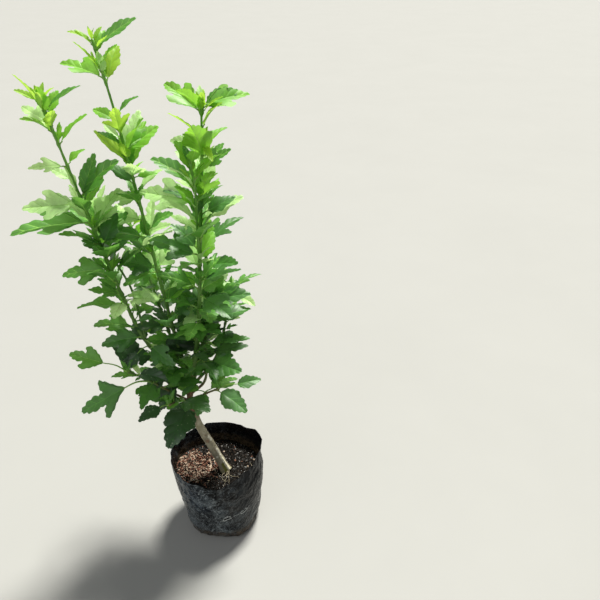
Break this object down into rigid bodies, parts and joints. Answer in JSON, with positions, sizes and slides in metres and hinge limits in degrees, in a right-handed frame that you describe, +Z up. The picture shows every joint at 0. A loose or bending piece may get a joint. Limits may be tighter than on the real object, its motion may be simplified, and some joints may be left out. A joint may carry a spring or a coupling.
{
  "type": "potted hibiscus shrub",
  "caption": "Young hibiscus shrub in a black nursery bag: a leaning woody trunk, a vase of long leafy whips and low side shoots.",
  "frame": {"origin": "centre of the bag's flat underside, under the middle of its rim", "axes": "+Z up along the plant; +X along its widest spread, from the long left whips to the bag's right; +Y from the picture's front to the back"},
  "size_m": [0.381, 0.302, 0.946],
  "materials": {
    "bag": "black polythene film, dusty, creased and scuffed",
    "soil": "damp potting mix of dark crumbs with coarse red-brown chips",
    "bark": "smooth grey-tan bark with small scars",
    "stem": "green young stems, brown at their base",
    "leaf": "satin leaf, yellow-green when young and dark green when old"
  },
  "bodies": {
    "root": {"bag": "bag", "soil": "soil", "trunk": "bark", "far_left_stem": "stem", "mid_left_stem": "stem", "centre_stem": "stem", "back_stem": "stem", "right_short_stem": "stem", "right_back_shoot": "stem", "left_back_shoot": "stem", "left_side_shoot": "stem", "centre_side_shoot": "stem", "low_left_shoot": "stem", "low_front_shoot": "stem", "low_right_shoot": "stem", "far_left_leaves_low": "leaf", "far_left_leaves_middle": "leaf", "far_left_leaves_upper": "leaf", "far_left_leaves_top": "leaf", "mid_left_leaves_low": "leaf", "mid_left_leaves_middle": "leaf", "mid_left_leaves_upper": "leaf", "mid_left_leaves_top": "leaf", "centre_leaves_low": "leaf", "centre_leaves_middle": "leaf", "centre_leaves_upper": "leaf", "centre_leaves_top": "leaf", "back_leaves_low": "leaf", "back_leaves_middle": "leaf", "back_leaves_top": "leaf", "right_short_leaves": "leaf", "right_back_leaves": "leaf", "left_back_leaves_low": "leaf", "left_back_leaves_top": "leaf", "left_side_leaves": "leaf", "centre_side_leaves": "leaf", "low_left_leaves": "leaf", "low_front_leaves": "leaf", "low_right_leaves": "leaf"}
  },
  "joints": []
}
